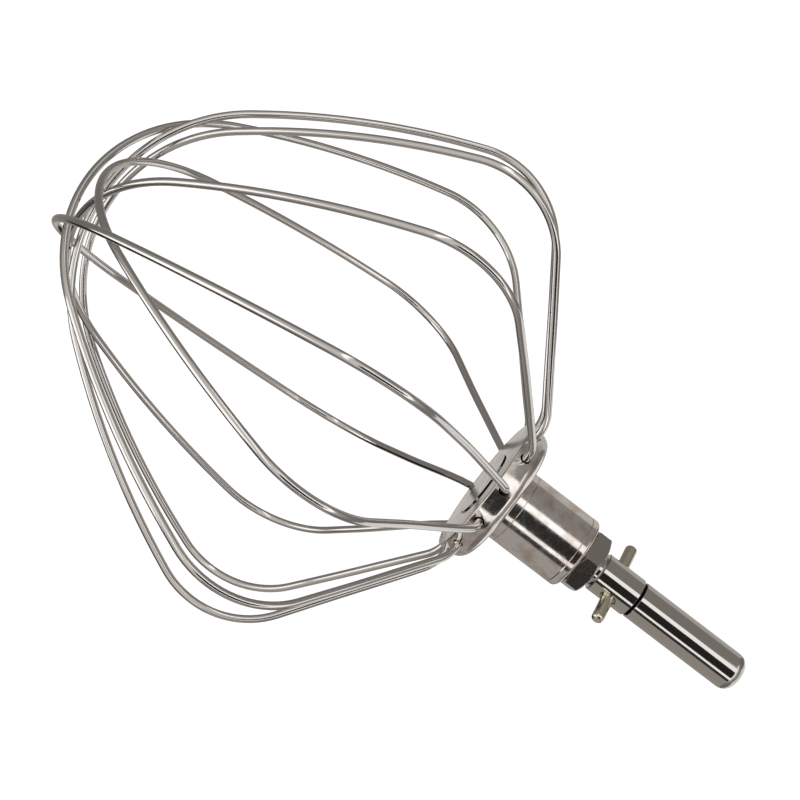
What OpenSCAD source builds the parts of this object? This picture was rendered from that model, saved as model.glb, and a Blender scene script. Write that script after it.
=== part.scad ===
// Balloon wire whisk for a planetary stand mixer.
// The shank points up (+Z) into the mixer's planetary head and the balloon hangs
// below. The origin is on the shank's axis, where the plain drive shank starts. The
// pieces are drawn with z = 0 at the flange's front face and lowered at the end.

/* [Wire loops] */
// Diameter of the spring wire
wire_d = 2.5; // [2:0.1:2.8]
// Angle from the cross pin to the first wire hole
first_hole = 4.5; // [0:0.5:30]
// Radius of the bend where a wire leaves its hole
foot_rad = 13; // [8:1:16]
// Slope of the straight legs, measured from the axis
leg_angle = 55.5; // [50:0.5:60]
// Length of the straight legs
leg_len = 48; // [40:1:56]
// Radius of the shoulder bend
shoulder_rad = 30; // [24:1:36]
// Inward slope of the long side where the shoulder ends
side_top = 22; // [18:1:26]
// Radius of the slightly bowed long side
side_rad = 270; // [220:10:320]
// Inward slope of the long side where the tip arc starts
side_bottom = 38; // [34:1:42]
// How far each loop has twisted round the axis
loop_twist = [-1, 4, -0.5, -2.5, -1.5, -0.5]; // degrees, [-5:0.5:5] each
// How far each loop leans sideways in its own plane
loop_sway = [-1, -1.5, 4.5, 3, -2, -2]; // degrees, [-5:0.5:5] each
// How far each loop leans out of its own plane
loop_lean = [-3.5, 3, 9, -4.5, -6.5, 4.5]; // degrees, [-10:0.5:10] each
// How much lower than the mean each loop's tip hangs, so that the tips nest
loop_drop = [2.8, -0.6, -0.8, -1.4, 2.1, -1.6]; // mm, [-3:0.1:3] each
// How much wider than the mean each loop is bent
loop_widen = [3, 0, 1, -1, 2, -4]; // percent, [-5:1:5] each

/* [Hub] */
// Diameter of the flange that holds the wires
flange_d = 46.6; // [44:0.2:50]
// Width of the flange's straight rim
rim_h = 4.6; // [4.5:0.1:6]
// Thickness of the flange where it meets the sleeve
flange_h = 9.5; // [9:0.5:12]
// Height of the wire holes above the front face
hole_z = 3; // [2.2:0.1:3.2]
// Outer diameter of the hub sleeve
sleeve_d = 24.4; // [22:0.2:28]
// Diameter of the sleeve's spigot in the flange
spigot_d = 22; // [18:0.5:22]
// Length of the whole sleeve
sleeve_h = 36.6; // [34:0.2:40]

/* [Shank] */
// Diameter of the drive shank
shank_d = 12.7; // [12.7:0.1:13]
// Diameter of the collar that the cross pin goes through
collar_d = 13.2; // [13:0.1:14]
// Outer diameter of the screw thread on the shank and in the hub
thread_d = 12; // [11:0.5:12]
// Height of the collar's lower face above the flange's front face
collar_z = 45; // [44.8:0.1:46]
// Length of the collar
collar_h = 14; // [13:0.5:16]
// Width of the groove between the collar and the shank
groove_w = 0.9; // [0.6:0.1:1.2]
// Height of the shank's free end above the flange's front face
top_z = 100.6; // [95:0.2:110]
// Radius of the rounding on the free end
end_round = 4; // [2:0.5:5]

/* [Cross pin and lock nut] */
// Diameter of the cross pin
pin_d = 4; // [3:0.5:5]
// Length of the cross pin
pin_len = 32; // [28:1:36]
// Height of the cross pin's axis above the collar's lower face
pin_rise = 6.6; // [5:0.2:8]
// Size of the lock nut across its flats
nut_flats = 19; // [18:0.5:19]
// Height of the lock nut
nut_h = 6.4; // [5:0.2:6.6]
// Angle from the cross pin to one corner of the lock nut
nut_turn = 4; // [0:1:60]

/* [Hidden] */
$fn = 96;

loops = 6;
hole_pitch = 180 / loops;
thread_gap = 0.05;            // radial running clearance in the thread
flange_r = flange_d / 2;
sleeve_r = sleeve_d / 2;
wire_hole_d = wire_d + 0.1;
seat_r = 15;                  // where the wires end inside the flange
hole_floor_r = seat_r - 0.5;
mouth_h = 0.7;                // countersink at each wire hole
mouth_grow = 0.35;
bore_floor = 9;               // bottom of the sleeve's threaded bore
thread_end = 12;              // lower end of the shank's thread
relief_d = 10.4;              // undercut between thread and collar
relief_h = 1.5;
groove_d = 12;
nut_z = sleeve_h;
pin_z = collar_z + pin_rise;
pin_seat_d = pin_d + 0.4;     // the pin's middle, pressed into the collar
pin_mouth = 0.7;              // countersink where the pin leaves the collar
pin_seat_end = collar_d / 2;
seam = 0.3;                   // groove between sleeve and flange on the front face
nut_mouth = 0.8;              // countersink of the nut's thread
edge_break = 0.1;             // the shank's broken edge above the groove
collar_top = collar_z + collar_h;
origin_z = collar_top + groove_w + edge_break;

// ---- flat outlines ----

// Points on an arc round c, from angle a0 to a1.
function arc(c, r, a0, a1, n = 8) =
    [for (i = [0 : n]) c + r * [cos(a0 + (a1 - a0) * i / n), sin(a0 + (a1 - a0) * i / n)]];

// ---- the path of one wire loop ----

// A wire path is drawn in its loop's plane as [distance from axis, depth below the
// front face]. Its heading is measured from straight down: 90 is outwards.
function bend_end(p, r, a0, a1) = p + r * [cos(a1) - cos(a0), sin(a0) - sin(a1)];
function bend(p, r, a0, a1, n) = [for (i = [0 : n - 1]) bend_end(p, r, a0, a0 + (a1 - a0) * i / n)];
function run(p, q, n) = [for (i = [0 : n - 1]) p + (q - p) * i / n];

exit_len = 1;
seat = [seat_r, -hole_z];
foot = [flange_r + exit_len, -hole_z];
leg = bend_end(foot, foot_rad, 90, leg_angle);
shoulder = leg + leg_len * [sin(leg_angle), cos(leg_angle)];
side = bend_end(shoulder, shoulder_rad, leg_angle, -side_top);
tip = bend_end(side, side_rad, -side_top, -side_bottom);
tip_rad = tip[0] / cos(side_bottom);
apex = bend_end(tip, tip_rad, -side_bottom, -90);

half_loop = concat(
    run(seat, foot, 2),
    bend(foot, foot_rad, 90, leg_angle, 4),
    run(leg, shoulder, 5),
    bend(shoulder, shoulder_rad, leg_angle, -side_top, 9),
    bend(side, side_rad, -side_top, -side_bottom, 6),
    bend(tip, tip_rad, -side_bottom, -90, 10),
    [apex]);

twist_end_r = 60;             // a loop's twist is complete at this radius
soften = 5;                   // length over which a leaning wire starts to lean

function smooth(t) = t * t * (3 - 2 * t);
function twist_share(p) = p[1] > shoulder[1] ? 1
    : smooth(min(1, max(0, (p[0] - flange_r) / (twist_end_r - flange_r))));
// Point k of one half of loop i. way is 1 on the first half and -1 on the other.
function place(i, k, way) =
    let (p = half_loop[k],
         s = twist_share(p),
         d = max(0, p[1]),
         g = d * d / (d + soften),
         x = way * p[0] * (1 + loop_widen[i] / 100 * s) + tan(loop_sway[i]) * g,
         y = tan(loop_lean[i]) * g,
         a = first_hole + hole_pitch * i + loop_twist[i] * s)
    [x * cos(a) - y * sin(a), x * sin(a) + y * cos(a), -(p[1] + loop_drop[i] * d / apex[1])];

function loop_path(i) = let (last = len(half_loop) - 1) concat(
    [for (k = [0 : last]) place(i, k, 1)],
    [for (k = [last - 1 : -1 : 0]) place(i, k, -1)]);

// ---- a round wire swept along a path ----

function unit(v) = v / norm(v);
function heading(path, k) = unit(path[min(k + 1, len(path) - 1)] - path[max(k - 1, 0)]);

// side_dir is never along the path, so it steadies every ring.
function wire_ring(path, k, side_dir, sides) =
    let (t = heading(path, k), u = unit(cross(side_dir, t)), v = cross(t, u))
    [for (j = [0 : sides - 1]) path[k] + wire_d / 2 * (cos(360 * j / sides) * u + sin(360 * j / sides) * v)];

module swept_wire(path, side_dir, sides = 12) {
    n = len(path);
    points = [for (k = [0 : n - 1]) each wire_ring(path, k, side_dir, sides)];
    walls = [for (k = [0 : n - 2], j = [0 : sides - 1])
        let (m = (j + 1) % sides)
        [k * sides + j, (k + 1) * sides + j, (k + 1) * sides + m, k * sides + m]];
    ends = [[for (j = [0 : sides - 1]) j],
            [for (j = [sides - 1 : -1 : 0]) (n - 1) * sides + j]];
    polyhedron(points, concat(walls, ends), convexity = 6);
}

// ---- the pieces ----

// Brings a piece into the part's own frame.
module lowered() { translate([0, 0, -origin_z]) children(); }

// Both ends of each loop are seated in the flange's wire holes.
module wire_loop(i) {
    across = first_hole + hole_pitch * i + 90;
    color("silver") lowered() swept_wire(loop_path(i), [cos(across), sin(across), 0]);
}

// One turned bar: threaded end, undercut, collar with the pin's cross hole, groove,
// and the plain drive shank with its rounded end.
module shank() {
    r = shank_d / 2;
    thread_r = thread_d / 2 - thread_gap;
    lead = 1;
    color("gainsboro") lowered() difference() {
        rotate_extrude() polygon(concat(
            [[0, thread_end], [thread_r - lead, thread_end], [thread_r, thread_end + lead],
             [thread_r, collar_z - relief_h], [relief_d / 2, collar_z - relief_h],
             [relief_d / 2, collar_z], [collar_d / 2 - 0.3, collar_z],
             [collar_d / 2, collar_z + 0.3], [collar_d / 2, collar_top - 0.2],
             [collar_d / 2 - 0.2, collar_top], [groove_d / 2, collar_top],
             [groove_d / 2, collar_top + groove_w], [r - edge_break, collar_top + groove_w],
             [r, collar_top + groove_w + edge_break]],
            arc([r - end_round, top_z - end_round], end_round, 0, 90, 10),
            [[0, top_z]]));
        translate([0, 0, pin_z]) rotate([0, 90, 0])
            cylinder(d = pin_seat_d, h = 2 * collar_d, center = true);
        for (way = [0, 1]) translate([0, 0, pin_z]) mirror([way, 0, 0]) rotate([0, 90, 0])
            translate([0, 0, pin_seat_end - pin_mouth])
                cylinder(d1 = pin_seat_d, d2 = pin_seat_d + 4 * pin_mouth, h = 2 * pin_mouth);
    }
}

// Round-ended cross pin along X. Its thicker middle is pressed into the collar.
module drive_pin() {
    r = pin_d / 2;
    edge = 1.2;
    outline = concat(
        [[0, -pin_len / 2]],
        arc([r - edge, edge - pin_len / 2], edge, -90, 0, 5),
        [[r, -pin_seat_end], [pin_seat_d / 2, -pin_seat_end],
         [pin_seat_d / 2, pin_seat_end], [r, pin_seat_end]],
        arc([r - edge, pin_len / 2 - edge], edge, 0, 90, 5),
        [[0, pin_len / 2]]);
    color("darkgray") lowered() translate([0, 0, pin_z]) rotate([0, 90, 0])
        rotate_extrude() polygon(outline);
}

// Thin hexagon nut, jammed against the sleeve. Both faces are chamfered and both
// mouths of its thread are countersunk.
module lock_nut() {
    corner_r = nut_flats / 2 / cos(30);
    face_r = nut_flats / 2 * 0.95;
    chamfer = (corner_r - face_r) * tan(30);
    color("dimgray") lowered() translate([0, 0, nut_z]) difference() {
        intersection() {
            rotate([0, 0, nut_turn]) cylinder(r = corner_r, h = nut_h, $fn = 6);
            rotate_extrude() polygon([[0, 0], [face_r, 0], [corner_r, chamfer],
                [corner_r, nut_h - chamfer], [face_r, nut_h], [0, nut_h]]);
        }
        translate([0, 0, -1]) cylinder(d = thread_d, h = nut_h + 2);
        for (face = [0, 1]) translate([0, 0, face * nut_h]) mirror([0, 0, face])
            translate([0, 0, -nut_mouth]) cylinder(d1 = thread_d + 4 * nut_mouth, d2 = thread_d,
                h = 2 * nut_mouth);
    }
}

// Turned sleeve: a spigot through the flange, a shoulder on the flange's back, two
// scribed lines and a blind threaded bore for the shank.
module hub_sleeve() {
    edge = 1.4;
    line_w = 0.4;
    line_depth = 0.15;
    line_inset = 3;
    low_line = flange_h + line_inset;
    high_line = sleeve_h - line_inset;
    lines = [for (z = [low_line, high_line]) each
        [[sleeve_r, z - line_w / 2], [sleeve_r - line_depth, z], [sleeve_r, z + line_w / 2]]];
    color("lightgray") lowered() difference() {
        rotate_extrude() polygon(concat(
            [[0, 0], [spigot_d / 2 - seam, 0], [spigot_d / 2, seam],
             [spigot_d / 2, flange_h], [sleeve_r, flange_h]],
            lines,
            arc([sleeve_r - edge, sleeve_h - edge], edge, 0, 90, 6),
            [[0, sleeve_h]]));
        translate([0, 0, bore_floor]) cylinder(d = thread_d, h = sleeve_h);
    }
}

// Flange ring with a flat front, a straight rim and a domed back. Twelve radial
// holes in the rim take the wires' ends.
module wire_flange() {
    edge = 0.5;
    dome_r = 4.4;
    back_r = flange_r - dome_r;
    color("lightgray") lowered() difference() {
        rotate_extrude() polygon(concat(
            [[spigot_d / 2, seam], [spigot_d / 2 + seam, 0]],
            arc([flange_r - edge, edge], edge, -90, 0, 4),
            arc([back_r, rim_h], dome_r, 0, 75, 8),
            [[sleeve_r + 0.6, flange_h - 0.1], [sleeve_r, flange_h], [spigot_d / 2, flange_h]]));
        for (k = [0 : 2 * loops - 1]) rotate([0, 0, first_hole + hole_pitch * k])
            translate([0, 0, hole_z]) rotate([0, 90, 0]) {
                translate([0, 0, hole_floor_r]) cylinder(d = wire_hole_d, h = flange_r);
                translate([0, 0, flange_r - mouth_h]) cylinder(d1 = wire_hole_d,
                    d2 = wire_hole_d + 4 * mouth_grow, h = 2 * mouth_h);
            }
    }
}

shank();
drive_pin();
lock_nut();
hub_sleeve();
wire_flange();
wire_loop(0);  // wire_loop_1
wire_loop(1);  // wire_loop_2
wire_loop(2);  // wire_loop_3
wire_loop(3);  // wire_loop_4
wire_loop(4);  // wire_loop_5
wire_loop(5);  // wire_loop_6
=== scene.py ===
"""A balloon wire whisk for a planetary stand mixer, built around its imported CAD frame.

Lengths are in metres, in the CAD's own frame: +Z up along the drive shank, +X along the
cross pin, and the origin where the plain drive shank starts.
"""

import math

import bpy
from mathutils import Matrix, Vector


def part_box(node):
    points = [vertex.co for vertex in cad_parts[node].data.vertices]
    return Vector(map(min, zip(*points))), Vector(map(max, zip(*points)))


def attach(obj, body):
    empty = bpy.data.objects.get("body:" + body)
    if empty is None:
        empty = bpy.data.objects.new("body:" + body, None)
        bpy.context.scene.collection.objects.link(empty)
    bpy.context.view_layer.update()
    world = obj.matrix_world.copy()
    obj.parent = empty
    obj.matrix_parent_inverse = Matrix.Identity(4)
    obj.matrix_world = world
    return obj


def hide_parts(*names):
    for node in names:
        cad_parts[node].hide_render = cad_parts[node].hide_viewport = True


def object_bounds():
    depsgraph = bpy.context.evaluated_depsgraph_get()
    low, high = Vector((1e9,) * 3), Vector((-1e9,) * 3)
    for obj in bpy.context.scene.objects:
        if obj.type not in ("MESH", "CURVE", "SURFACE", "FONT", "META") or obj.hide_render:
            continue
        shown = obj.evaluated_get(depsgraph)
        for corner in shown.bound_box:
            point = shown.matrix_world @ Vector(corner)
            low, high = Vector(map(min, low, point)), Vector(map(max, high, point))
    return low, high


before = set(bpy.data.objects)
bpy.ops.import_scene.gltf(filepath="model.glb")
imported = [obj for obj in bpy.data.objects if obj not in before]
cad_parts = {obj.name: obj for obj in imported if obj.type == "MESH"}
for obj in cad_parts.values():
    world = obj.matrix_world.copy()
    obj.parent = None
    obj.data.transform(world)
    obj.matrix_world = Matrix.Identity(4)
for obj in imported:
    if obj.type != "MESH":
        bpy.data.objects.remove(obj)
CAD_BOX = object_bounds()

bl_info = {
    "name": "Balloon Wire Whisk",
    "version": (1, 0, 0),
    "blender": (4, 5, 0),
    "location": "View3D > Sidebar > Whisk",
    "description": "Builds the wires, hub and shank of a stand mixer's balloon whisk",
    "category": "Add Mesh",
}

MM = 0.001
HEAD = "whisk_head"
NUT = "locking_nut"
SHANK = "shank_assembly"

FLANGE_LOW, FLANGE_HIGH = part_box("wire_flange")
SLEEVE_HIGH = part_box("hub_sleeve")[1]
NUT_LOW, NUT_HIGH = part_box("lock_nut")
SHANK_LOW, SHANK_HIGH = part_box("shank")
PIN_LOW, PIN_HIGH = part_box("drive_pin")
FRONT_Z = FLANGE_LOW.z
FLANGE_R = FLANGE_HIGH.x
SLEEVE_R = SLEEVE_HIGH.x

# ---- the drive shank: the CAD's sizes, but for the groove and the collar's upper edge ----

SHANK_R = 6.35 * MM
COLLAR_R = SHANK_HIGH.x
COLLAR_LOW = -15 * MM
COLLAR_HIGH = -1 * MM
# Both edges of the collar; the CAD breaks the upper one by 0.2 mm
COLLAR_EDGE = 0.3 * MM
EDGE_BREAK = 0.1 * MM
END_ROUND = 4 * MM
# Half a millimetre deeper than in the CAD
GROOVE_R = 5.5 * MM
RELIEF_R = 5.2 * MM
RELIEF_LEN = 1.5 * MM
THREAD_R = 5.95 * MM
# An external metric thread's depth as a share of its pitch, and half the angle
# between its flanks
THREAD_DEPTH = 0.6134
THREAD_FLANK = 30
END_CHAMFER = 0.6 * MM
THREAD_LEAD = 1 * MM
THREAD_MOUTH = 0.8 * MM
ROOT_OVERLAP = 0.2 * MM
PIN_SEAT_R = PIN_HIGH.z / 2 - PIN_LOW.z / 2
PIN_MOUTH = 0.7 * MM

# ---- the hub: the CAD's sizes, but for the spigot's end ----

SPIGOT_R = 11 * MM
# In the CAD the spigot ends level with the flange, with a chamfer. Here it stands proud.
SPIGOT_PROUD = 0.4 * MM
SLEEVE_SHOULDER = FLANGE_HIGH.z
SLEEVE_ROUND = 1.4 * MM
BORE_R = 6 * MM
BORE_FLOOR = FRONT_Z + 9 * MM
SCRIBED_AT = 3 * MM
SCRIBED_WIDE = 0.4 * MM
SCRIBED_DEEP = 0.15 * MM
SEAM = 0.3 * MM
FLANGE_EDGE = 0.5 * MM
RIM_TOP = 4.6 * MM
DOME_R = 4.4 * MM
DOME_FOOT = 0.6 * MM
DOME_STEP = 0.1 * MM
HOLE_R = 1.3 * MM
HOLE_FLOOR_R = 14.5 * MM
MOUTH_DEEP = 0.7 * MM
MOUTH_GROW = 0.35 * MM
# Where braze fills the joint between spigot and flange: from which azimuth, and how far
BRAZE = ((27, 28), (68, 5), (86, 9), (130, 25), (190, 8), (215, 30), (275, 7))
BRAZE_LEG = 0.5 * MM
BRAZE_TOP = 0.1 * MM
BRAZE_TOE = 0.03 * MM
BRAZE_SUNK = 0.1 * MM
NUT_FLATS = 19 * MM
NUT_TURN = 4
# The chamfered end face's radius as a share of half the distance across the flats
NUT_FACE = 0.95
NUT_BEVEL = 0.5 * MM
NUT_BEVEL_ANGLE = 50
NUT_SMOOTH_ANGLE = 12

# ---- where shade is painted: how far it reaches round the joint and the groove ----

PAINTED_JOINT_SHADE = 0.05 * MM
PAINTED_JOINT_SHADE_DEEP = 1 * MM
PAINTED_GROOVE_SHADE_IN = 0.1 * MM
PAINTED_GROOVE_SHADE_OUT = 0.5 * MM
PAINTED_GROOVE_SHADE_LOW = 0.05 * MM

# ---- the wire's route, as the CAD lays it ----

LOOPS = 6
HOLE_PITCH = 180 / LOOPS
HOLE_Z = 3 * MM
SEAT_R = 15 * MM
EXIT_LEN = 1 * MM
FOOT_RAD = 13 * MM
LEG_ANGLE = 55.5
LEG_LEN = 48 * MM
SHOULDER_RAD = 30 * MM
SIDE_TOP = 22
SIDE_RAD = 270 * MM
SIDE_BOTTOM = 38
FIRST_HOLE = 4.5
TWIST_END_R = 60 * MM
SOFTEN = 5 * MM
# Each loop's twist, sway and lean in degrees, drop in mm and widening in percent, as in the CAD
LOOP_TWIST = (-1, 4, -0.5, -2.5, -1.5, -0.5)
LOOP_SWAY = (-1, -1.5, 4.5, 3, -2, -2)
LOOP_LEAN = (-3.5, 3, 9, -4.5, -6.5, 4.5)
LOOP_DROP = (2.8, -0.6, -0.8, -1.4, 2.1, -1.6)
LOOP_WIDEN = (3, 0, 1, -1, 2, -4)


def bend_end(start, radius, first, last):
    """Where a bend ends that turns the wire's heading from first to last degrees."""
    a, b = math.radians(first), math.radians(last)
    return Vector((start[0] + radius * (math.cos(b) - math.cos(a)),
                   start[1] + radius * (math.sin(a) - math.sin(b))))


def bend(start, radius, first, last, step=4.0):
    """Points round a bend, without its end, one for about each step of degrees."""
    count = max(2, round(abs(last - first) / step))
    return [bend_end(start, radius, first, first + (last - first) * i / count) for i in range(count)]


def run(start, end, count):
    """Points along a straight, without its end."""
    return [start + (end - start) * i / count for i in range(count)]


SEAT = Vector((SEAT_R, -HOLE_Z))
FOOT = Vector((FLANGE_R + EXIT_LEN, -HOLE_Z))
LEG = bend_end(FOOT, FOOT_RAD, 90, LEG_ANGLE)
SHOULDER = LEG + LEG_LEN * Vector((math.sin(math.radians(LEG_ANGLE)),
                                   math.cos(math.radians(LEG_ANGLE))))
SIDE = bend_end(SHOULDER, SHOULDER_RAD, LEG_ANGLE, -SIDE_TOP)
TIP = bend_end(SIDE, SIDE_RAD, -SIDE_TOP, -SIDE_BOTTOM)
TIP_RAD = TIP[0] / math.cos(math.radians(SIDE_BOTTOM))
APEX = bend_end(TIP, TIP_RAD, -SIDE_BOTTOM, -90)


def half_loop():
    """One half of a loop as (distance from the axis, depth below the flange's front)."""
    return (run(SEAT, FOOT, 3) + bend(FOOT, FOOT_RAD, 90, LEG_ANGLE) + run(LEG, SHOULDER, 10)
            + bend(SHOULDER, SHOULDER_RAD, LEG_ANGLE, -SIDE_TOP)
            + bend(SIDE, SIDE_RAD, -SIDE_TOP, -SIDE_BOTTOM, 1.2)
            + bend(TIP, TIP_RAD, -SIDE_BOTTOM, -90, 3.0) + [APEX])


def twist_share(point):
    """How much of a loop's twist a point has: none at the flange, all past the shoulder."""
    if point[1] > SHOULDER[1]:
        return 1.0
    t = min(1.0, max(0.0, (point[0] - FLANGE_R) / (TWIST_END_R - FLANGE_R)))
    return t * t * (3 - 2 * t)


def place(loop, point, way):
    """A point of one half of a loop in the whisk's frame. way is 1 or -1."""
    share = twist_share(point)
    depth = max(0.0, point[1])
    slack = depth * depth / (depth + SOFTEN)
    sway = math.tan(math.radians(LOOP_SWAY[loop])) * slack
    x = way * point[0] * (1 + LOOP_WIDEN[loop] / 100 * share) + sway
    y = math.tan(math.radians(LOOP_LEAN[loop])) * slack
    turn = math.radians(FIRST_HOLE + HOLE_PITCH * loop + LOOP_TWIST[loop] * share)
    drop = LOOP_DROP[loop] * MM * depth / APEX[1]
    return Vector((x * math.cos(turn) - y * math.sin(turn), x * math.sin(turn) + y * math.cos(turn),
                   FRONT_Z - point[1] - drop))


def loop_route(loop):
    """The whole centreline of one loop, from one hole to the opposite one."""
    half = half_loop()
    return [place(loop, p, 1) for p in half] + [place(loop, p, -1) for p in reversed(half[:-1])]


# ---- making and finishing meshes ----


def deselect():
    """Leaves nothing selected, so that the next operator acts on the new piece alone."""
    if bpy.context.object and bpy.context.object.mode != "OBJECT":
        bpy.ops.object.mode_set(mode="OBJECT")
    bpy.ops.object.select_all(action="DESELECT")


def select_only(piece):
    """Makes one piece the selected and active one."""
    deselect()
    piece.select_set(True)
    bpy.context.view_layer.objects.active = piece


def apply_modifiers(piece):
    """Applies every modifier of a piece, first to last."""
    select_only(piece)
    for name in [m.name for m in piece.modifiers]:
        bpy.ops.object.modifier_apply(modifier=name)


def settle(piece, name, body, material, replaced=(), angle=35):
    """Names and shades a finished piece, and fixes it to its body."""
    select_only(piece)
    bpy.ops.object.transform_apply(location=True, rotation=True, scale=True)
    bpy.ops.object.shade_smooth_by_angle(angle=math.radians(angle))
    piece.name = piece.data.name = name
    piece.data.materials.clear()
    piece.data.materials.append(material)
    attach(piece, body)
    if replaced:
        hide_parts(*replaced)


def outline(corners):
    """A closed outline in the XZ plane, drawn corner by corner by extruding one vertex.
    It is left selected in edit mode."""
    deselect()
    bpy.ops.mesh.primitive_plane_add(size=MM)
    piece = bpy.context.object
    bpy.ops.object.mode_set(mode="EDIT")
    bpy.ops.mesh.select_all(action="SELECT")
    bpy.ops.mesh.merge(type="CENTER")
    bpy.ops.transform.translate(value=(corners[0][0], 0, corners[0][1]))
    for (x, z), (next_x, next_z) in zip(corners, corners[1:]):
        bpy.ops.mesh.extrude_vertices_move(TRANSFORM_OT_translate={"value": (next_x - x, 0, next_z - z)})
    bpy.ops.mesh.select_all(action="SELECT")
    bpy.ops.mesh.edge_face_add()
    bpy.ops.mesh.delete(type="ONLY_FACE")
    bpy.ops.mesh.select_all(action="SELECT")
    return piece


def close_up(piece):
    """Merges what meets, caps open ends and turns every face outwards."""
    select_only(piece)
    bpy.ops.object.mode_set(mode="EDIT")
    bpy.ops.mesh.select_all(action="SELECT")
    bpy.ops.mesh.remove_doubles(threshold=1e-7)
    bpy.ops.mesh.fill_holes(sides=0)
    bpy.ops.mesh.select_all(action="SELECT")
    bpy.ops.mesh.normals_make_consistent(inside=False)
    bpy.ops.object.mode_set(mode="OBJECT")
    return piece


def lathe(corners, steps=96, turn=360):
    """A turned solid from its half section, given as (radius, height) corners."""
    piece = outline(corners)
    bpy.ops.mesh.spin(steps=steps, angle=math.radians(turn), center=(0, 0, 0), axis=(0, 0, 1),
                      use_auto_merge=turn == 360)
    return close_up(piece)


def combine(piece, tool, operation):
    """Cuts a tool out of a piece, or joins it on, and takes the tool away."""
    modifier = piece.modifiers.new(operation.lower(), "BOOLEAN")
    modifier.operation = operation
    modifier.solver = "EXACT"
    modifier.object = tool
    apply_modifiers(piece)
    bpy.data.objects.remove(tool)


def arc(centre, radius, first, last, count=8):
    """Corners round an arc in a half section, from first to last degrees."""
    angles = [math.radians(first + (last - first) * i / count) for i in range(count + 1)]
    return [(centre[0] + radius * math.cos(a), centre[1] + radius * math.sin(a)) for a in angles]


def bent_wire(route, diameter):
    """A round wire along a route: a path whose points are added one by one, then thickened."""
    deselect()
    bpy.ops.curve.primitive_nurbs_path_add(location=(0, 0, 0))
    wire = bpy.context.object
    bpy.ops.object.mode_set(mode="EDIT")
    bpy.ops.curve.select_all(action="SELECT")
    bpy.ops.curve.spline_type_set(type="POLY")
    bpy.ops.curve.select_all(action="DESELECT")
    for point in wire.data.splines[0].points[1:]:
        point.select = True
    bpy.ops.curve.delete(type="VERT")
    first = wire.data.splines[0].points[0]
    first.co = (*route[0], 1)
    first.select = True
    for point in route[1:]:
        bpy.ops.curve.vertex_add(location=point)
    bpy.ops.object.mode_set(mode="OBJECT")
    wire.data.dimensions = "3D"
    wire.data.bevel_depth = diameter / 2
    wire.data.bevel_resolution = 9
    wire.data.use_fill_caps = True
    bpy.ops.object.convert(target="MESH")
    bpy.ops.object.mode_set(mode="EDIT")
    bpy.ops.mesh.select_all(action="SELECT")
    bpy.ops.mesh.remove_doubles(threshold=1e-7)
    bpy.ops.mesh.normals_make_consistent(inside=False)
    bpy.ops.object.mode_set(mode="OBJECT")
    return wire


# ---- materials ----


def linear(code):
    """A linear RGBA colour from an sRGB hex code such as #C8C4BC."""
    parts = [int(code[i:i + 2], 16) / 255 for i in (1, 3, 5)]
    return (*[c / 12.92 if c <= 0.04045 else ((c + 0.055) / 1.055) ** 2.4 for c in parts], 1.0)


def add_node(tree, kind, inputs=None, **settings):
    """Adds a node, gives it its settings, and fills or links its inputs."""
    node = tree.nodes.new(kind)
    for name, value in settings.items():
        setattr(node, name, value)
    for name, value in (inputs or {}).items():
        if isinstance(value, bpy.types.NodeSocket):
            tree.links.new(value, node.inputs[name])
        else:
            node.inputs[name].default_value = value
    return node


def new_material(name):
    """An empty node material, with its tree and its output node."""
    material = bpy.data.materials.new(name)
    material.use_nodes = True
    tree = material.node_tree
    tree.nodes.clear()
    return material, tree, add_node(tree, "ShaderNodeOutputMaterial")


def finish_surface(tree, output, inputs):
    """Connects a metal's shader with the given inputs to the output."""
    shader = add_node(tree, "ShaderNodeBsdfPrincipled", {"Metallic": 1.0, **inputs})
    tree.links.new(shader.outputs["BSDF"], output.inputs["Surface"])


def distance_from_axis(tree, place_on):
    """How far a point is from the shank's axis, and its height, as two sockets."""
    split = add_node(tree, "ShaderNodeSeparateXYZ", {"Vector": place_on})
    flat = add_node(tree, "ShaderNodeCombineXYZ", {"X": split.outputs["X"], "Y": split.outputs["Y"]})
    length = add_node(tree, "ShaderNodeVectorMath", {0: flat.outputs["Vector"]}, operation="LENGTH")
    return length.outputs["Value"], split.outputs["Z"]


def between(tree, value, low, high):
    """1 where a value lies between two others, and 0 elsewhere."""
    above = add_node(tree, "ShaderNodeMath", {0: value, 1: low}, operation="GREATER_THAN")
    below = add_node(tree, "ShaderNodeMath", {0: value, 1: high}, operation="LESS_THAN")
    return add_node(tree, "ShaderNodeMath", {0: above.outputs[0], 1: below.outputs[0]},
                    operation="MULTIPLY").outputs[0]


def paint_shade_dark(tree, colour, rough, where):
    """A colour and a roughness that turn to a dull black painted shade where the third socket is 1."""
    # painted shade: the colour mixes to near-black #1B1917 where the mask is 1
    tint = add_node(tree, "ShaderNodeMix", {"Factor": where}, data_type="RGBA")
    for socket, value in (("A", colour), ("B", linear("#1B1917"))):
        if isinstance(value, bpy.types.NodeSocket):
            tree.links.new(value, tint.inputs[socket])
        else:
            tint.inputs[socket].default_value = value
    dull = add_node(tree, "ShaderNodeMix", {"Factor": where, "A": rough, "B": 0.6})
    return tint.outputs[2], dull.outputs[0]


def spring_wire_steel(finish):
    """Stainless spring wire, drawn and electropolished: bright, with faint soft cloudiness
    along it where the polish bit unevenly."""
    material, tree, output = new_material("stainless_spring_wire_electropolished")
    place_on = add_node(tree, "ShaderNodeTexCoord").outputs["Object"]
    # patches about 12 mm long
    cloud = add_node(tree, "ShaderNodeTexNoise",
                     {"Vector": place_on, "Scale": 1 / (12 * MM), "Detail": 3.0})
    tint = add_node(tree, "ShaderNodeMix", {"Factor": cloud.outputs["Fac"]}, data_type="RGBA")
    tint.inputs["A"].default_value = linear(finish.wire_light)
    tint.inputs["B"].default_value = linear(finish.wire_dark)
    rough = add_node(tree, "ShaderNodeMapRange",
                     {"Value": cloud.outputs["Fac"], "To Min": 0.07, "To Max": 0.15})
    finish_surface(tree, output, {"Base Color": tint.outputs[2], "Roughness": rough.outputs["Result"]})
    return material


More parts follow.
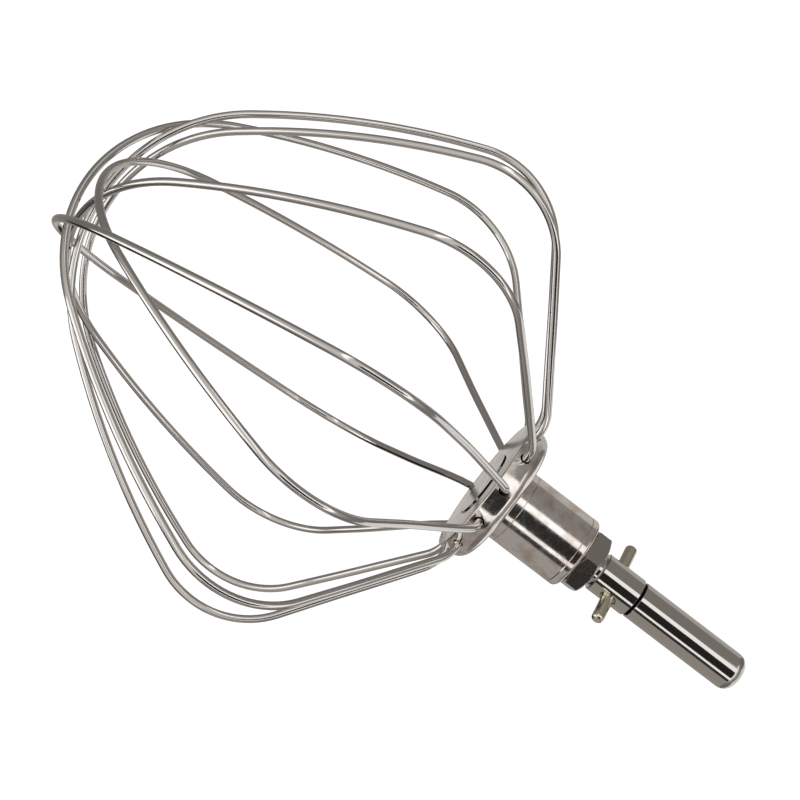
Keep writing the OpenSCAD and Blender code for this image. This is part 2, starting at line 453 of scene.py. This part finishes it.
def turned_steel(finish):
    """Stainless bar, finely turned and lightly polished: fine rings that spread the gloss,
    pale scuffs and faint brownish stains from handling, and painted shade, dull black, in the spigot's joint."""
    material, tree, output = new_material("stainless_bar_fine_turned")
    place_on = add_node(tree, "ShaderNodeTexCoord").outputs["Object"]
    radius, height = distance_from_axis(tree, place_on)
    # stains about 5 mm across
    stain = add_node(tree, "ShaderNodeTexNoise", {"Vector": place_on, "Scale": 1 / (5 * MM), "Detail": 4.0})
    stained = add_node(tree, "ShaderNodeMapRange",
                       {"Value": stain.outputs["Fac"], "From Min": 0.42, "From Max": 0.66})
    tint = add_node(tree, "ShaderNodeMix", {"Factor": stained.outputs["Result"]}, data_type="RGBA")
    tint.inputs["A"].default_value = linear(finish.turned_light)
    tint.inputs["B"].default_value = linear(finish.turned_dark)
    # scuffs about 1.5 mm across, which turn the polish dull
    scuff = add_node(tree, "ShaderNodeTexNoise", {"Vector": place_on, "Scale": 1 / (1.5 * MM), "Detail": 5.0})
    scuffed = add_node(tree, "ShaderNodeMapRange",
                       {"Value": scuff.outputs["Fac"], "From Min": 0.45, "From Max": 0.8,
                        "To Min": 0.12, "To Max": 0.22})
    # feed marks 0.12 mm apart, drawn at 0.3 mm so that they show: rings round the axis
    section = add_node(tree, "ShaderNodeCombineXYZ", {"X": radius, "Z": height})
    rings = add_node(tree, "ShaderNodeTexNoise",
                     {"Vector": section.outputs["Vector"], "Scale": 1 / (0.3 * MM), "Detail": 2.0})
    bump = add_node(tree, "ShaderNodeBump",
                    {"Height": rings.outputs["Fac"], "Distance": 0.01 * MM, "Strength": 0.3})
    # painted shade: a thin ring of the spigot's wall, in the gap and corner where it meets the flange's
    # front, turns dull black
    wall = between(tree, radius, SPIGOT_R - PAINTED_JOINT_SHADE, SPIGOT_R + PAINTED_JOINT_SHADE)
    low = between(tree, height, FRONT_Z - PAINTED_JOINT_SHADE_DEEP, FRONT_Z + PAINTED_JOINT_SHADE_DEEP)
    joint = add_node(tree, "ShaderNodeMath", {0: wall, 1: low}, operation="MULTIPLY").outputs[0]
    colour, rough = paint_shade_dark(tree, tint.outputs[2], scuffed.outputs["Result"], joint)
    finish_surface(tree, output, {"Base Color": colour, "Roughness": rough,
                                  "Normal": bump.outputs["Normal"]})
    return material


def braze_metal(finish):
    """Silver braze, wiped clean: a soft uneven gloss, a little paler than the steel."""
    material, tree, output = new_material("silver_braze_wiped")
    place_on = add_node(tree, "ShaderNodeTexCoord").outputs["Object"]
    # flow marks about 0.8 mm across
    flow = add_node(tree, "ShaderNodeTexNoise", {"Vector": place_on, "Scale": 1 / (0.8 * MM), "Detail": 2.0})
    rough = add_node(tree, "ShaderNodeMapRange",
                     {"Value": flow.outputs["Fac"], "To Min": 0.25, "To Max": 0.45})
    bump = add_node(tree, "ShaderNodeBump",
                    {"Height": flow.outputs["Fac"], "Distance": 0.1 * MM, "Strength": 0.5})
    finish_surface(tree, output, {"Base Color": linear(finish.braze), "Roughness": rough.outputs["Result"],
                                  "Normal": bump.outputs["Normal"]})
    return material


def polished_steel(finish):
    """Stainless bar, turned and buffed: nearly a mirror, so the studio shows in it as long
    clean bands. The groove is painted dull black as painted shade."""
    material, tree, output = new_material("stainless_bar_buffed")
    place_on = add_node(tree, "ShaderNodeTexCoord").outputs["Object"]
    radius, height = distance_from_axis(tree, place_on)
    # handling marks about 4 mm across
    haze = add_node(tree, "ShaderNodeTexNoise", {"Vector": place_on, "Scale": 1 / (4 * MM), "Detail": 3.0})
    rough = add_node(tree, "ShaderNodeMapRange",
                     {"Value": haze.outputs["Fac"], "To Min": 0.05, "To Max": 0.09})
    # painted shade: the groove's floor and walls turn dull black, where little light reaches
    deep = between(tree, radius, GROOVE_R - PAINTED_GROOVE_SHADE_IN, GROOVE_R + PAINTED_GROOVE_SHADE_OUT)
    groove = between(tree, height, COLLAR_HIGH - PAINTED_GROOVE_SHADE_LOW, 0)
    groove_shade = add_node(tree, "ShaderNodeMath", {0: deep, 1: groove}, operation="MULTIPLY").outputs[0]
    colour, dull = paint_shade_dark(tree, linear(finish.shank), rough.outputs["Result"], groove_shade)
    finish_surface(tree, output, {"Base Color": colour, "Roughness": dull})
    return material


def machined_steel(finish):
    """Stainless hexagon bar, bright drawn: flat faces with a soft even gloss."""
    material, tree, output = new_material("stainless_hexagon_bright_drawn")
    place_on = add_node(tree, "ShaderNodeTexCoord").outputs["Object"]
    # draw marks about 2 mm across
    haze = add_node(tree, "ShaderNodeTexNoise", {"Vector": place_on, "Scale": 1 / (2 * MM), "Detail": 3.0})
    rough = add_node(tree, "ShaderNodeMapRange",
                     {"Value": haze.outputs["Fac"], "To Min": 0.09, "To Max": 0.15})
    finish_surface(tree, output, {"Base Color": linear(finish.nut), "Roughness": rough.outputs["Result"]})
    return material


def ground_pin_steel(finish):
    """Ground dowel steel: a shade warmer and duller than the bar it is pressed into."""
    material, tree, output = new_material("dowel_steel_ground")
    place_on = add_node(tree, "ShaderNodeTexCoord").outputs["Object"]
    # grinding haze about 1.5 mm across
    haze = add_node(tree, "ShaderNodeTexNoise", {"Vector": place_on, "Scale": 1 / (1.5 * MM), "Detail": 2.0})
    rough = add_node(tree, "ShaderNodeMapRange",
                     {"Value": haze.outputs["Fac"], "To Min": 0.13, "To Max": 0.17})
    finish_surface(tree, output, {"Base Color": linear(finish.pin), "Roughness": rough.outputs["Result"]})
    return material


# ---- settings ----


class WhiskSizes(bpy.types.PropertyGroup):
    """The sizes that a user would change."""

    wire_diameter: bpy.props.FloatProperty(
        name="Wire", description="Diameter of the spring wire", default=2.5 * MM, unit="LENGTH")
    thread_pitch: bpy.props.FloatProperty(
        name="Thread pitch", description="Pitch of the shank's screw thread", default=1.75 * MM,
        unit="LENGTH")


class WhiskFinish(bpy.types.PropertyGroup):
    """The colours of the steels, as sRGB hex codes."""

    wire_light: bpy.props.StringProperty(
        name="Wire, light", description="Spring wire where the polish is bright", default="#E2DFDC")
    wire_dark: bpy.props.StringProperty(
        name="Wire, dark", description="Spring wire where the polish is dull", default="#CCC8C4")
    turned_light: bpy.props.StringProperty(
        name="Hub, light", description="Turned hub where it is clean", default="#E6E2DE")
    turned_dark: bpy.props.StringProperty(
        name="Hub, dark", description="Turned hub where it is stained", default="#CBBEB4")
    braze: bpy.props.StringProperty(name="Braze", description="Braze between sleeve and flange",
                                    default="#CFCBC6")
    shank: bpy.props.StringProperty(name="Shank", description="Buffed shank", default="#CBC7C2")
    nut: bpy.props.StringProperty(name="Nut", description="Bright drawn lock nut", default="#B8B2AD")
    pin: bpy.props.StringProperty(name="Pin", description="Ground cross pin", default="#E0D9C6")


# ---- the pieces ----


class WHISK_OT_wires(bpy.types.Operator):
    """Bend the six spring wire loops and seat them in the flange"""

    bl_idname = "whisk.wires"
    bl_label = "Wire Loops"

    def execute(self, context):
        sizes = context.scene.whisk_sizes
        steel = spring_wire_steel(context.scene.whisk_finish)
        for loop in range(LOOPS):
            wire = bent_wire(loop_route(loop), sizes.wire_diameter)
            settle(wire, f"spring_wire_{loop + 1}", HEAD, steel,
                   [f"wire_loop_{loop + 1}"])
        return {"FINISHED"}


def turned_sleeve():
    """The sleeve's turned form: a spigot that ends proud of the flange, a shoulder on the
    flange's back, a scribed line near each end and a blind bore."""
    top = SLEEVE_HIGH.z
    scribed = []
    for z in (SLEEVE_SHOULDER + SCRIBED_AT, top - SCRIBED_AT):
        scribed += [(SLEEVE_R, z - SCRIBED_WIDE / 2), (SLEEVE_R - SCRIBED_DEEP, z),
                    (SLEEVE_R, z + SCRIBED_WIDE / 2)]
    return lathe([
        (0, FRONT_Z - SPIGOT_PROUD), (SPIGOT_R, FRONT_Z - SPIGOT_PROUD), (SPIGOT_R, SLEEVE_SHOULDER),
        (SLEEVE_R, SLEEVE_SHOULDER), *scribed,
        *arc((SLEEVE_R - SLEEVE_ROUND, top - SLEEVE_ROUND), SLEEVE_ROUND, 0, 90, 10),
        (BORE_R, top), (BORE_R, BORE_FLOOR), (0, BORE_FLOOR)], 128)


def turned_flange():
    """The flange's turned form: a flat front, a straight rim and a domed back."""
    return lathe([
        (SPIGOT_R, FRONT_Z + SEAM), (SPIGOT_R + SEAM, FRONT_Z),
        *arc((FLANGE_R - FLANGE_EDGE, FRONT_Z + FLANGE_EDGE), FLANGE_EDGE, -90, 0, 6),
        *arc((FLANGE_R - DOME_R, FRONT_Z + RIM_TOP), DOME_R, 0, 75, 14),
        (SLEEVE_R + DOME_FOOT, SLEEVE_SHOULDER - DOME_STEP), (SLEEVE_R, SLEEVE_SHOULDER),
        (SPIGOT_R, SLEEVE_SHOULDER)], 144)


def wire_drills():
    """The solids that drill the rim for the wires' ends, and countersink each mouth."""
    drill = lathe([(0, HOLE_FLOOR_R), (HOLE_R, HOLE_FLOOR_R), (HOLE_R, FLANGE_R - MOUTH_DEEP),
                   (HOLE_R + 2 * MOUTH_GROW, FLANGE_R + MOUTH_DEEP), (0, FLANGE_R + MOUTH_DEEP)], 32)
    drill.rotation_euler = (0, math.pi / 2, 0)
    bpy.ops.object.transform_apply(location=True, rotation=True, scale=True)
    drills = [drill]
    for hole in range(1, 2 * LOOPS):
        select_only(drill)
        bpy.ops.object.duplicate(linked=False)
        copy = bpy.context.object
        copy.rotation_euler = (0, 0, math.radians(HOLE_PITCH * hole))
        drills.append(copy)
    select_only(drill)
    for copy in drills:
        copy.select_set(True)
    bpy.ops.object.join()
    drill.rotation_euler = (0, 0, math.radians(FIRST_HOLE))
    drill.location = (0, 0, FRONT_Z + HOLE_Z)
    bpy.ops.object.transform_apply(location=True, rotation=True, scale=True)
    return drill


def braze_run(azimuth, turn):
    """One run of braze in the corner between the spigot's end and the flange's face."""
    inner, outer = SPIGOT_R - BRAZE_SUNK, SPIGOT_R + BRAZE_LEG
    end = FRONT_Z - SPIGOT_PROUD
    braze = lathe([(inner, FRONT_Z + BRAZE_SUNK), (inner, end), (SPIGOT_R + BRAZE_TOP, end),
                   (outer, FRONT_Z - BRAZE_TOE), (outer, FRONT_Z + BRAZE_SUNK)], max(4, turn), turn)
    # spin starts from +X, which is at azimuth 90
    braze.rotation_euler = (0, 0, math.radians(azimuth - 90))
    bpy.ops.object.transform_apply(location=True, rotation=True, scale=True)
    return braze


class WHISK_OT_hub(bpy.types.Operator):
    """Turn and drill the flange, turn the sleeve and braze the two together"""

    bl_idname = "whisk.hub"
    bl_label = "Hub"

    def execute(self, context):
        steel = turned_steel(context.scene.whisk_finish)
        flange = turned_flange()
        combine(flange, wire_drills(), "DIFFERENCE")
        settle(flange, "drilled_wire_flange", HEAD, steel, ["wire_flange"])
        settle(turned_sleeve(), "turned_hub_sleeve", HEAD, steel, ["hub_sleeve"])
        braze = braze_metal(context.scene.whisk_finish)
        for number, (azimuth, turn) in enumerate(BRAZE, 1):
            settle(braze_run(azimuth, turn), f"braze_run_{number}", HEAD, braze)
        return {"FINISHED"}


class WHISK_OT_nut(bpy.types.Operator):
    """Cut, chamfer and drill the hexagon lock nut"""

    bl_idname = "whisk.nut"
    bl_label = "Lock Nut"

    def execute(self, context):
        low, high = NUT_LOW.z, NUT_HIGH.z
        corner_r = NUT_FLATS / 2 / math.cos(math.radians(30))
        face_r = NUT_FLATS / 2 * NUT_FACE
        chamfer = (corner_r - face_r) * math.tan(math.radians(30))
        mouth = THREAD_MOUTH
        reach = corner_r + MM
        drop = chamfer * (reach - face_r) / (corner_r - face_r)
        deselect()
        bpy.ops.mesh.primitive_cylinder_add(vertices=6, radius=corner_r, depth=high - low,
                                            location=(0, 0, (low + high) / 2))
        nut = context.object
        # Blender puts the first corner on +Y
        nut.rotation_euler = (0, 0, math.radians(NUT_TURN - 90))
        bpy.ops.object.transform_apply(location=True, rotation=True, scale=True)
        turned = lathe([(BORE_R, low + mouth), (BORE_R + mouth, low), (face_r, low), (reach, low + drop),
                        (reach, high - drop), (face_r, high), (BORE_R + mouth, high),
                        (BORE_R, high - mouth)], 128)
        combine(nut, turned, "INTERSECT")
        edges = nut.modifiers.new("worn edges", "BEVEL")
        edges.width = NUT_BEVEL
        edges.segments = 2
        edges.limit_method = "ANGLE"
        edges.angle_limit = math.radians(NUT_BEVEL_ANGLE)
        apply_modifiers(nut)
        settle(nut, "hexagon_lock_nut", NUT, machined_steel(context.scene.whisk_finish),
               ["lock_nut"], NUT_SMOOTH_ANGLE)
        return {"FINISHED"}


def turned_bar(root_r):
    """The drive shank's bar: threaded end's core, undercut, collar, groove and free end."""
    bottom, top = SHANK_LOW.z, SHANK_HIGH.z
    free = [(SHANK_R - EDGE_BREAK, -EDGE_BREAK), (SHANK_R, 0)]
    free += arc((SHANK_R - END_ROUND, top - END_ROUND), END_ROUND, 0, 90, 12)
    return lathe([
        (0, bottom), (root_r - END_CHAMFER, bottom), (root_r, bottom + END_CHAMFER),
        (root_r, COLLAR_LOW - RELIEF_LEN), (RELIEF_R, COLLAR_LOW - RELIEF_LEN),
        (RELIEF_R, COLLAR_LOW), (COLLAR_R - COLLAR_EDGE, COLLAR_LOW),
        (COLLAR_R, COLLAR_LOW + COLLAR_EDGE), (COLLAR_R, COLLAR_HIGH - COLLAR_EDGE),
        (COLLAR_R - COLLAR_EDGE, COLLAR_HIGH), (GROOVE_R, COLLAR_HIGH),
        (GROOVE_R, -EDGE_BREAK), *free, (0, top)])


def thread_ridge(root_r, pitch):
    """A right-hand metric thread's ridge, one closed helix of whole turns up to the undercut.
    Its flanks run on into the bar, so that they cross the bar's surface."""
    low, high = SHANK_LOW.z + THREAD_LEAD, COLLAR_LOW - RELIEF_LEN
    crest = pitch / 8
    sunk = root_r - ROOT_OVERLAP
    base = crest + 2 * (THREAD_R - sunk) * math.tan(math.radians(THREAD_FLANK))
    turns = math.floor((high - low - base) / pitch)
    start = high - turns * pitch - base / 2
    ridge = outline([(sunk, start - base / 2), (THREAD_R, start - crest / 2),
                     (THREAD_R, start + crest / 2), (sunk, start + base / 2)])
    bpy.ops.object.mode_set(mode="OBJECT")
    screw = ridge.modifiers.new("helix", "SCREW")
    screw.axis = "Z"
    screw.angle = 2 * math.pi
    screw.screw_offset = pitch
    screw.iterations = turns
    screw.steps = screw.render_steps = 64
    apply_modifiers(ridge)
    return close_up(ridge)


def cross_hole():
    """The solid that drills the collar along X and countersinks both mouths."""
    reach = 2 * COLLAR_R
    mouth = COLLAR_R - PIN_MOUTH
    drill = lathe([(0, -reach), (PIN_SEAT_R + reach - mouth, -reach), (PIN_SEAT_R, -mouth),
                   (PIN_SEAT_R, mouth), (PIN_SEAT_R + reach - mouth, reach), (0, reach)], 64)
    drill.rotation_euler = (0, math.pi / 2, 0)
    drill.location = (0, 0, (PIN_LOW.z + PIN_HIGH.z) / 2)
    bpy.ops.object.transform_apply(location=True, rotation=True, scale=True)
    return drill


class WHISK_OT_shank(bpy.types.Operator):
    """Turn the drive shank, cut its thread and drill its collar, and finish the cross pin"""

    bl_idname = "whisk.shank"
    bl_label = "Drive Shank"

    def execute(self, context):
        finish = context.scene.whisk_finish
        pitch = context.scene.whisk_sizes.thread_pitch
        root_r = THREAD_R - THREAD_DEPTH * pitch
        bar = turned_bar(root_r)
        combine(bar, cross_hole(), "DIFFERENCE")
        combine(bar, thread_ridge(root_r, pitch), "UNION")
        settle(bar, "threaded_drive_shank", SHANK, polished_steel(finish),
               ["shank"], 30)
        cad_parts["drive_pin"].material_slots[0].material = ground_pin_steel(finish)
        return {"FINISHED"}


# ---- the stage ----

# The camera's place round the whisk: where it aims, how far off it is, its azimuth from -Y,
# its elevation, and its roll.
CAMERA_AIM = Vector((-5.0, -1.7, -96.4)) * MM
CAMERA_DISTANCE = 496.5 * MM
CAMERA_AZIMUTH = 40.33
CAMERA_ELEVATION = -3.08
CAMERA_ROLL = 127.35
CAMERA_LENS = 72.0
STUDIO_RADIUS = 1.5
PANEL_DISTANCE = 0.8
# The room's shade at each angle from the studio's front, from the back round to the front
STUDIO_SHADES = ((180, "#CCC9C5"), (167, "#C0BDB9"), (157, "#8E8A86"), (112, "#7A7774"),
                 (82, "#85827E"), (48, "#D2CFCB"), (0, "#E4E1DD"))
# The panels round the front: from and to which azimuth, how high, colour and strength
STUDIO_BELT = (
    ("left_wall", -140, -70, 25, "#C0BCB7", 1.0),
    ("left_screen", -70, 6, 25, "#8E8A86", 1.0),
    ("key_strip", 6, 26, 46, "#FFFFFF", 1.35),
    ("dark_flag", 26, 70, 46, "#2A2928", 1.0),
    ("rim_strip", 71, 82, 46, "#FFFFFF", 1.35),
    ("dark_screen", 82, 98, 40, "#383635", 1.0),
    ("right_screen", 98, 150, 25, "#A6A29D", 1.0),
    ("right_wall", 150, 215, 25, "#A6A29D", 1.0),
)
BELT_ELEVATION = 20
# Strips of light above and below the belt and a dark corner, for the wires: azimuth,
# elevation, how wide and how high in degrees, colour and strength
STUDIO_STRIPS = (
    ("upper_strip", 40, 50, 90, 7, "#FFFFFF", 1.5),
    ("lower_strip", 10, -22, 90, 7, "#FFFFFF", 1.5),
    ("low_softbox", 97, -50, 56, 32, "#FFFFFF", 1.5),
    ("low_corner", 152, -28, 44, 44, "#1C1B1A", 1.0),
)
LAMP_AZIMUTH = 220
LAMP_ELEVATION = 66
LAMP_SIZE = 0.8
LAMP_WATTS = 1.4
WHITE_STRENGTH = 1.1
FLOOR_DROP = 30 * MM


def direction(azimuth, elevation):
    """The unit vector from the whisk towards a place round it, in degrees."""
    a, e = math.radians(azimuth), math.radians(elevation)
    return Vector((math.sin(a) * math.cos(e), -math.cos(a) * math.cos(e), math.sin(e)))


def flat_material(name, colour, strength):
    """A plain emission, for what only lights the scene or shows in the steel."""
    material, tree, output = new_material(name)
    glow = add_node(tree, "ShaderNodeEmission", {"Color": linear(colour), "Strength": strength})
    tree.links.new(glow.outputs["Emission"], output.inputs["Surface"])
    return material


def studio_panel(name, azimuth, elevation, wide, high, colour, strength):
    """A panel that faces the whisk and shows only in its reflections. wide and high are
    the angles that it covers, in degrees."""
    deselect()
    bpy.ops.mesh.primitive_plane_add(size=1)
    panel = bpy.context.object
    out = direction(azimuth, elevation)
    panel.rotation_mode = "QUATERNION"
    panel.rotation_quaternion = (-out).to_track_quat("Z", "Y")
    panel.location = CAMERA_AIM + out * PANEL_DISTANCE
    panel.scale = (2 * PANEL_DISTANCE * math.tan(math.radians(wide / 2)),
                   2 * PANEL_DISTANCE * math.tan(math.radians(high / 2)), 1)
    panel.name = name
    panel.data.materials.append(flat_material(name, colour, strength))
    panel.visible_camera = False
    panel.visible_shadow = False


def shade_studio(tree):
    """Shades the room round the whisk: pale in front and behind, and mid grey to the sides."""
    looks = add_node(tree, "ShaderNodeTexCoord").outputs["Generated"]
    front = direction(CAMERA_AZIMUTH, CAMERA_ELEVATION)
    facing = add_node(tree, "ShaderNodeVectorMath", {0: looks, 1: front}, operation="DOT_PRODUCT")
    share = add_node(tree, "ShaderNodeMapRange", {"Value": facing.outputs["Value"], "From Min": -1.0})
    ramp = add_node(tree, "ShaderNodeValToRGB", {"Fac": share.outputs["Result"]})
    stops = ramp.color_ramp.elements
    while len(stops) < len(STUDIO_SHADES):
        stops.new(0.5)
    for stop, (angle, shade) in zip(stops, STUDIO_SHADES):
        stop.position = (math.cos(math.radians(angle)) + 1) / 2
        stop.color = linear(shade)
    tree.links.new(ramp.outputs["Color"], tree.nodes["Background"].inputs["Color"])


def only_for_camera(piece):
    """Shows a backdrop to the camera alone: it takes no shadow and is in no reflection."""
    piece.visible_diffuse = piece.visible_glossy = piece.visible_transmission = False
    piece.visible_shadow = False


class WHISK_OT_stage(bpy.types.Operator):
    """Set up the pale floor, the panels, strips and lamp of the studio, and the camera"""

    bl_idname = "whisk.stage"
    bl_label = "Stage"

    def execute(self, context):
        scene = context.scene
        scene.view_settings.view_transform = "Standard"
        white = flat_material("studio_white", "#FFFFFF", WHITE_STRENGTH)
        deselect()
        bpy.ops.mesh.primitive_circle_add(vertices=96, radius=STUDIO_RADIUS, fill_type="NGON",
                                          location=(0, 0, CAD_BOX[0].z - FLOOR_DROP))
        floor = context.object
        floor.name = "floor"
        floor.data.materials.append(white)
        only_for_camera(floor)
        bpy.ops.mesh.primitive_uv_sphere_add(segments=48, ring_count=24, radius=2 * STUDIO_RADIUS)
        dome = context.object
        dome.name = "backdrop"
        dome.data.materials.append(white)
        only_for_camera(dome)

        world = bpy.data.worlds.new("studio")
        scene.world = world
        world.use_nodes = True
        shade_studio(world.node_tree)

        # what the shank, nut and sleeve show from one side to the other
        for name, first, last, high, colour, strength in STUDIO_BELT:
            studio_panel(name, (first + last) / 2, BELT_ELEVATION, last - first, high, colour, strength)
        for strip in STUDIO_STRIPS:
            studio_panel(*strip)

        deselect()
        above = direction(LAMP_AZIMUTH, LAMP_ELEVATION)
        bpy.ops.object.light_add(type="AREA", location=CAMERA_AIM + above * PANEL_DISTANCE)
        lamp = context.object
        lamp.name = "high_softbox"
        lamp.data.shape = "SQUARE"
        lamp.data.size = LAMP_SIZE
        lamp.data.energy = LAMP_WATTS
        lamp.rotation_mode = "QUATERNION"
        lamp.rotation_quaternion = above.to_track_quat("Z", "Y")

        back = direction(CAMERA_AZIMUTH, CAMERA_ELEVATION)
        bpy.ops.object.camera_add(location=CAMERA_AIM + back * CAMERA_DISTANCE)
        camera = context.object
        camera.rotation_mode = "QUATERNION"
        level = (-back).to_track_quat("-Z", "Y")
        roll = Matrix.Rotation(math.radians(CAMERA_ROLL), 4, back).to_quaternion()
        camera.rotation_quaternion = roll @ level
        camera.data.lens = CAMERA_LENS
        camera.data.sensor_width = 36
        camera.data.clip_start = 0.01
        scene.camera = camera
        return {"FINISHED"}


class WHISK_PT_panel(bpy.types.Panel):
    """The whisk's settings and its pieces, in the sidebar"""

    bl_label = "Balloon Wire Whisk"
    bl_idname = "WHISK_PT_panel"
    bl_space_type = "VIEW_3D"
    bl_region_type = "UI"
    bl_category = "Whisk"

    def draw(self, context):
        layout = self.layout
        for group in (context.scene.whisk_sizes, context.scene.whisk_finish):
            box = layout.box()
            for name in group.__annotations__:
                box.prop(group, name)
        for operator in OPERATORS:
            layout.operator(operator.bl_idname)


OPERATORS = (WHISK_OT_stage, WHISK_OT_wires, WHISK_OT_hub, WHISK_OT_nut, WHISK_OT_shank)
CLASSES = (WhiskSizes, WhiskFinish, *OPERATORS, WHISK_PT_panel)


def register():
    """Registers the classes and hangs the settings on the scene."""
    for item in CLASSES:
        bpy.utils.register_class(item)
    bpy.types.Scene.whisk_sizes = bpy.props.PointerProperty(type=WhiskSizes)
    bpy.types.Scene.whisk_finish = bpy.props.PointerProperty(type=WhiskFinish)


def unregister():
    """Takes the settings and the classes away again."""
    del bpy.types.Scene.whisk_finish
    del bpy.types.Scene.whisk_sizes
    for item in reversed(CLASSES):
        bpy.utils.unregister_class(item)


def main():
    """Registers the add-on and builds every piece."""
    register()
    bpy.ops.whisk.stage()
    bpy.ops.whisk.wires()
    bpy.ops.whisk.hub()
    bpy.ops.whisk.nut()
    bpy.ops.whisk.shank()


if __name__ == "__main__":
    main()
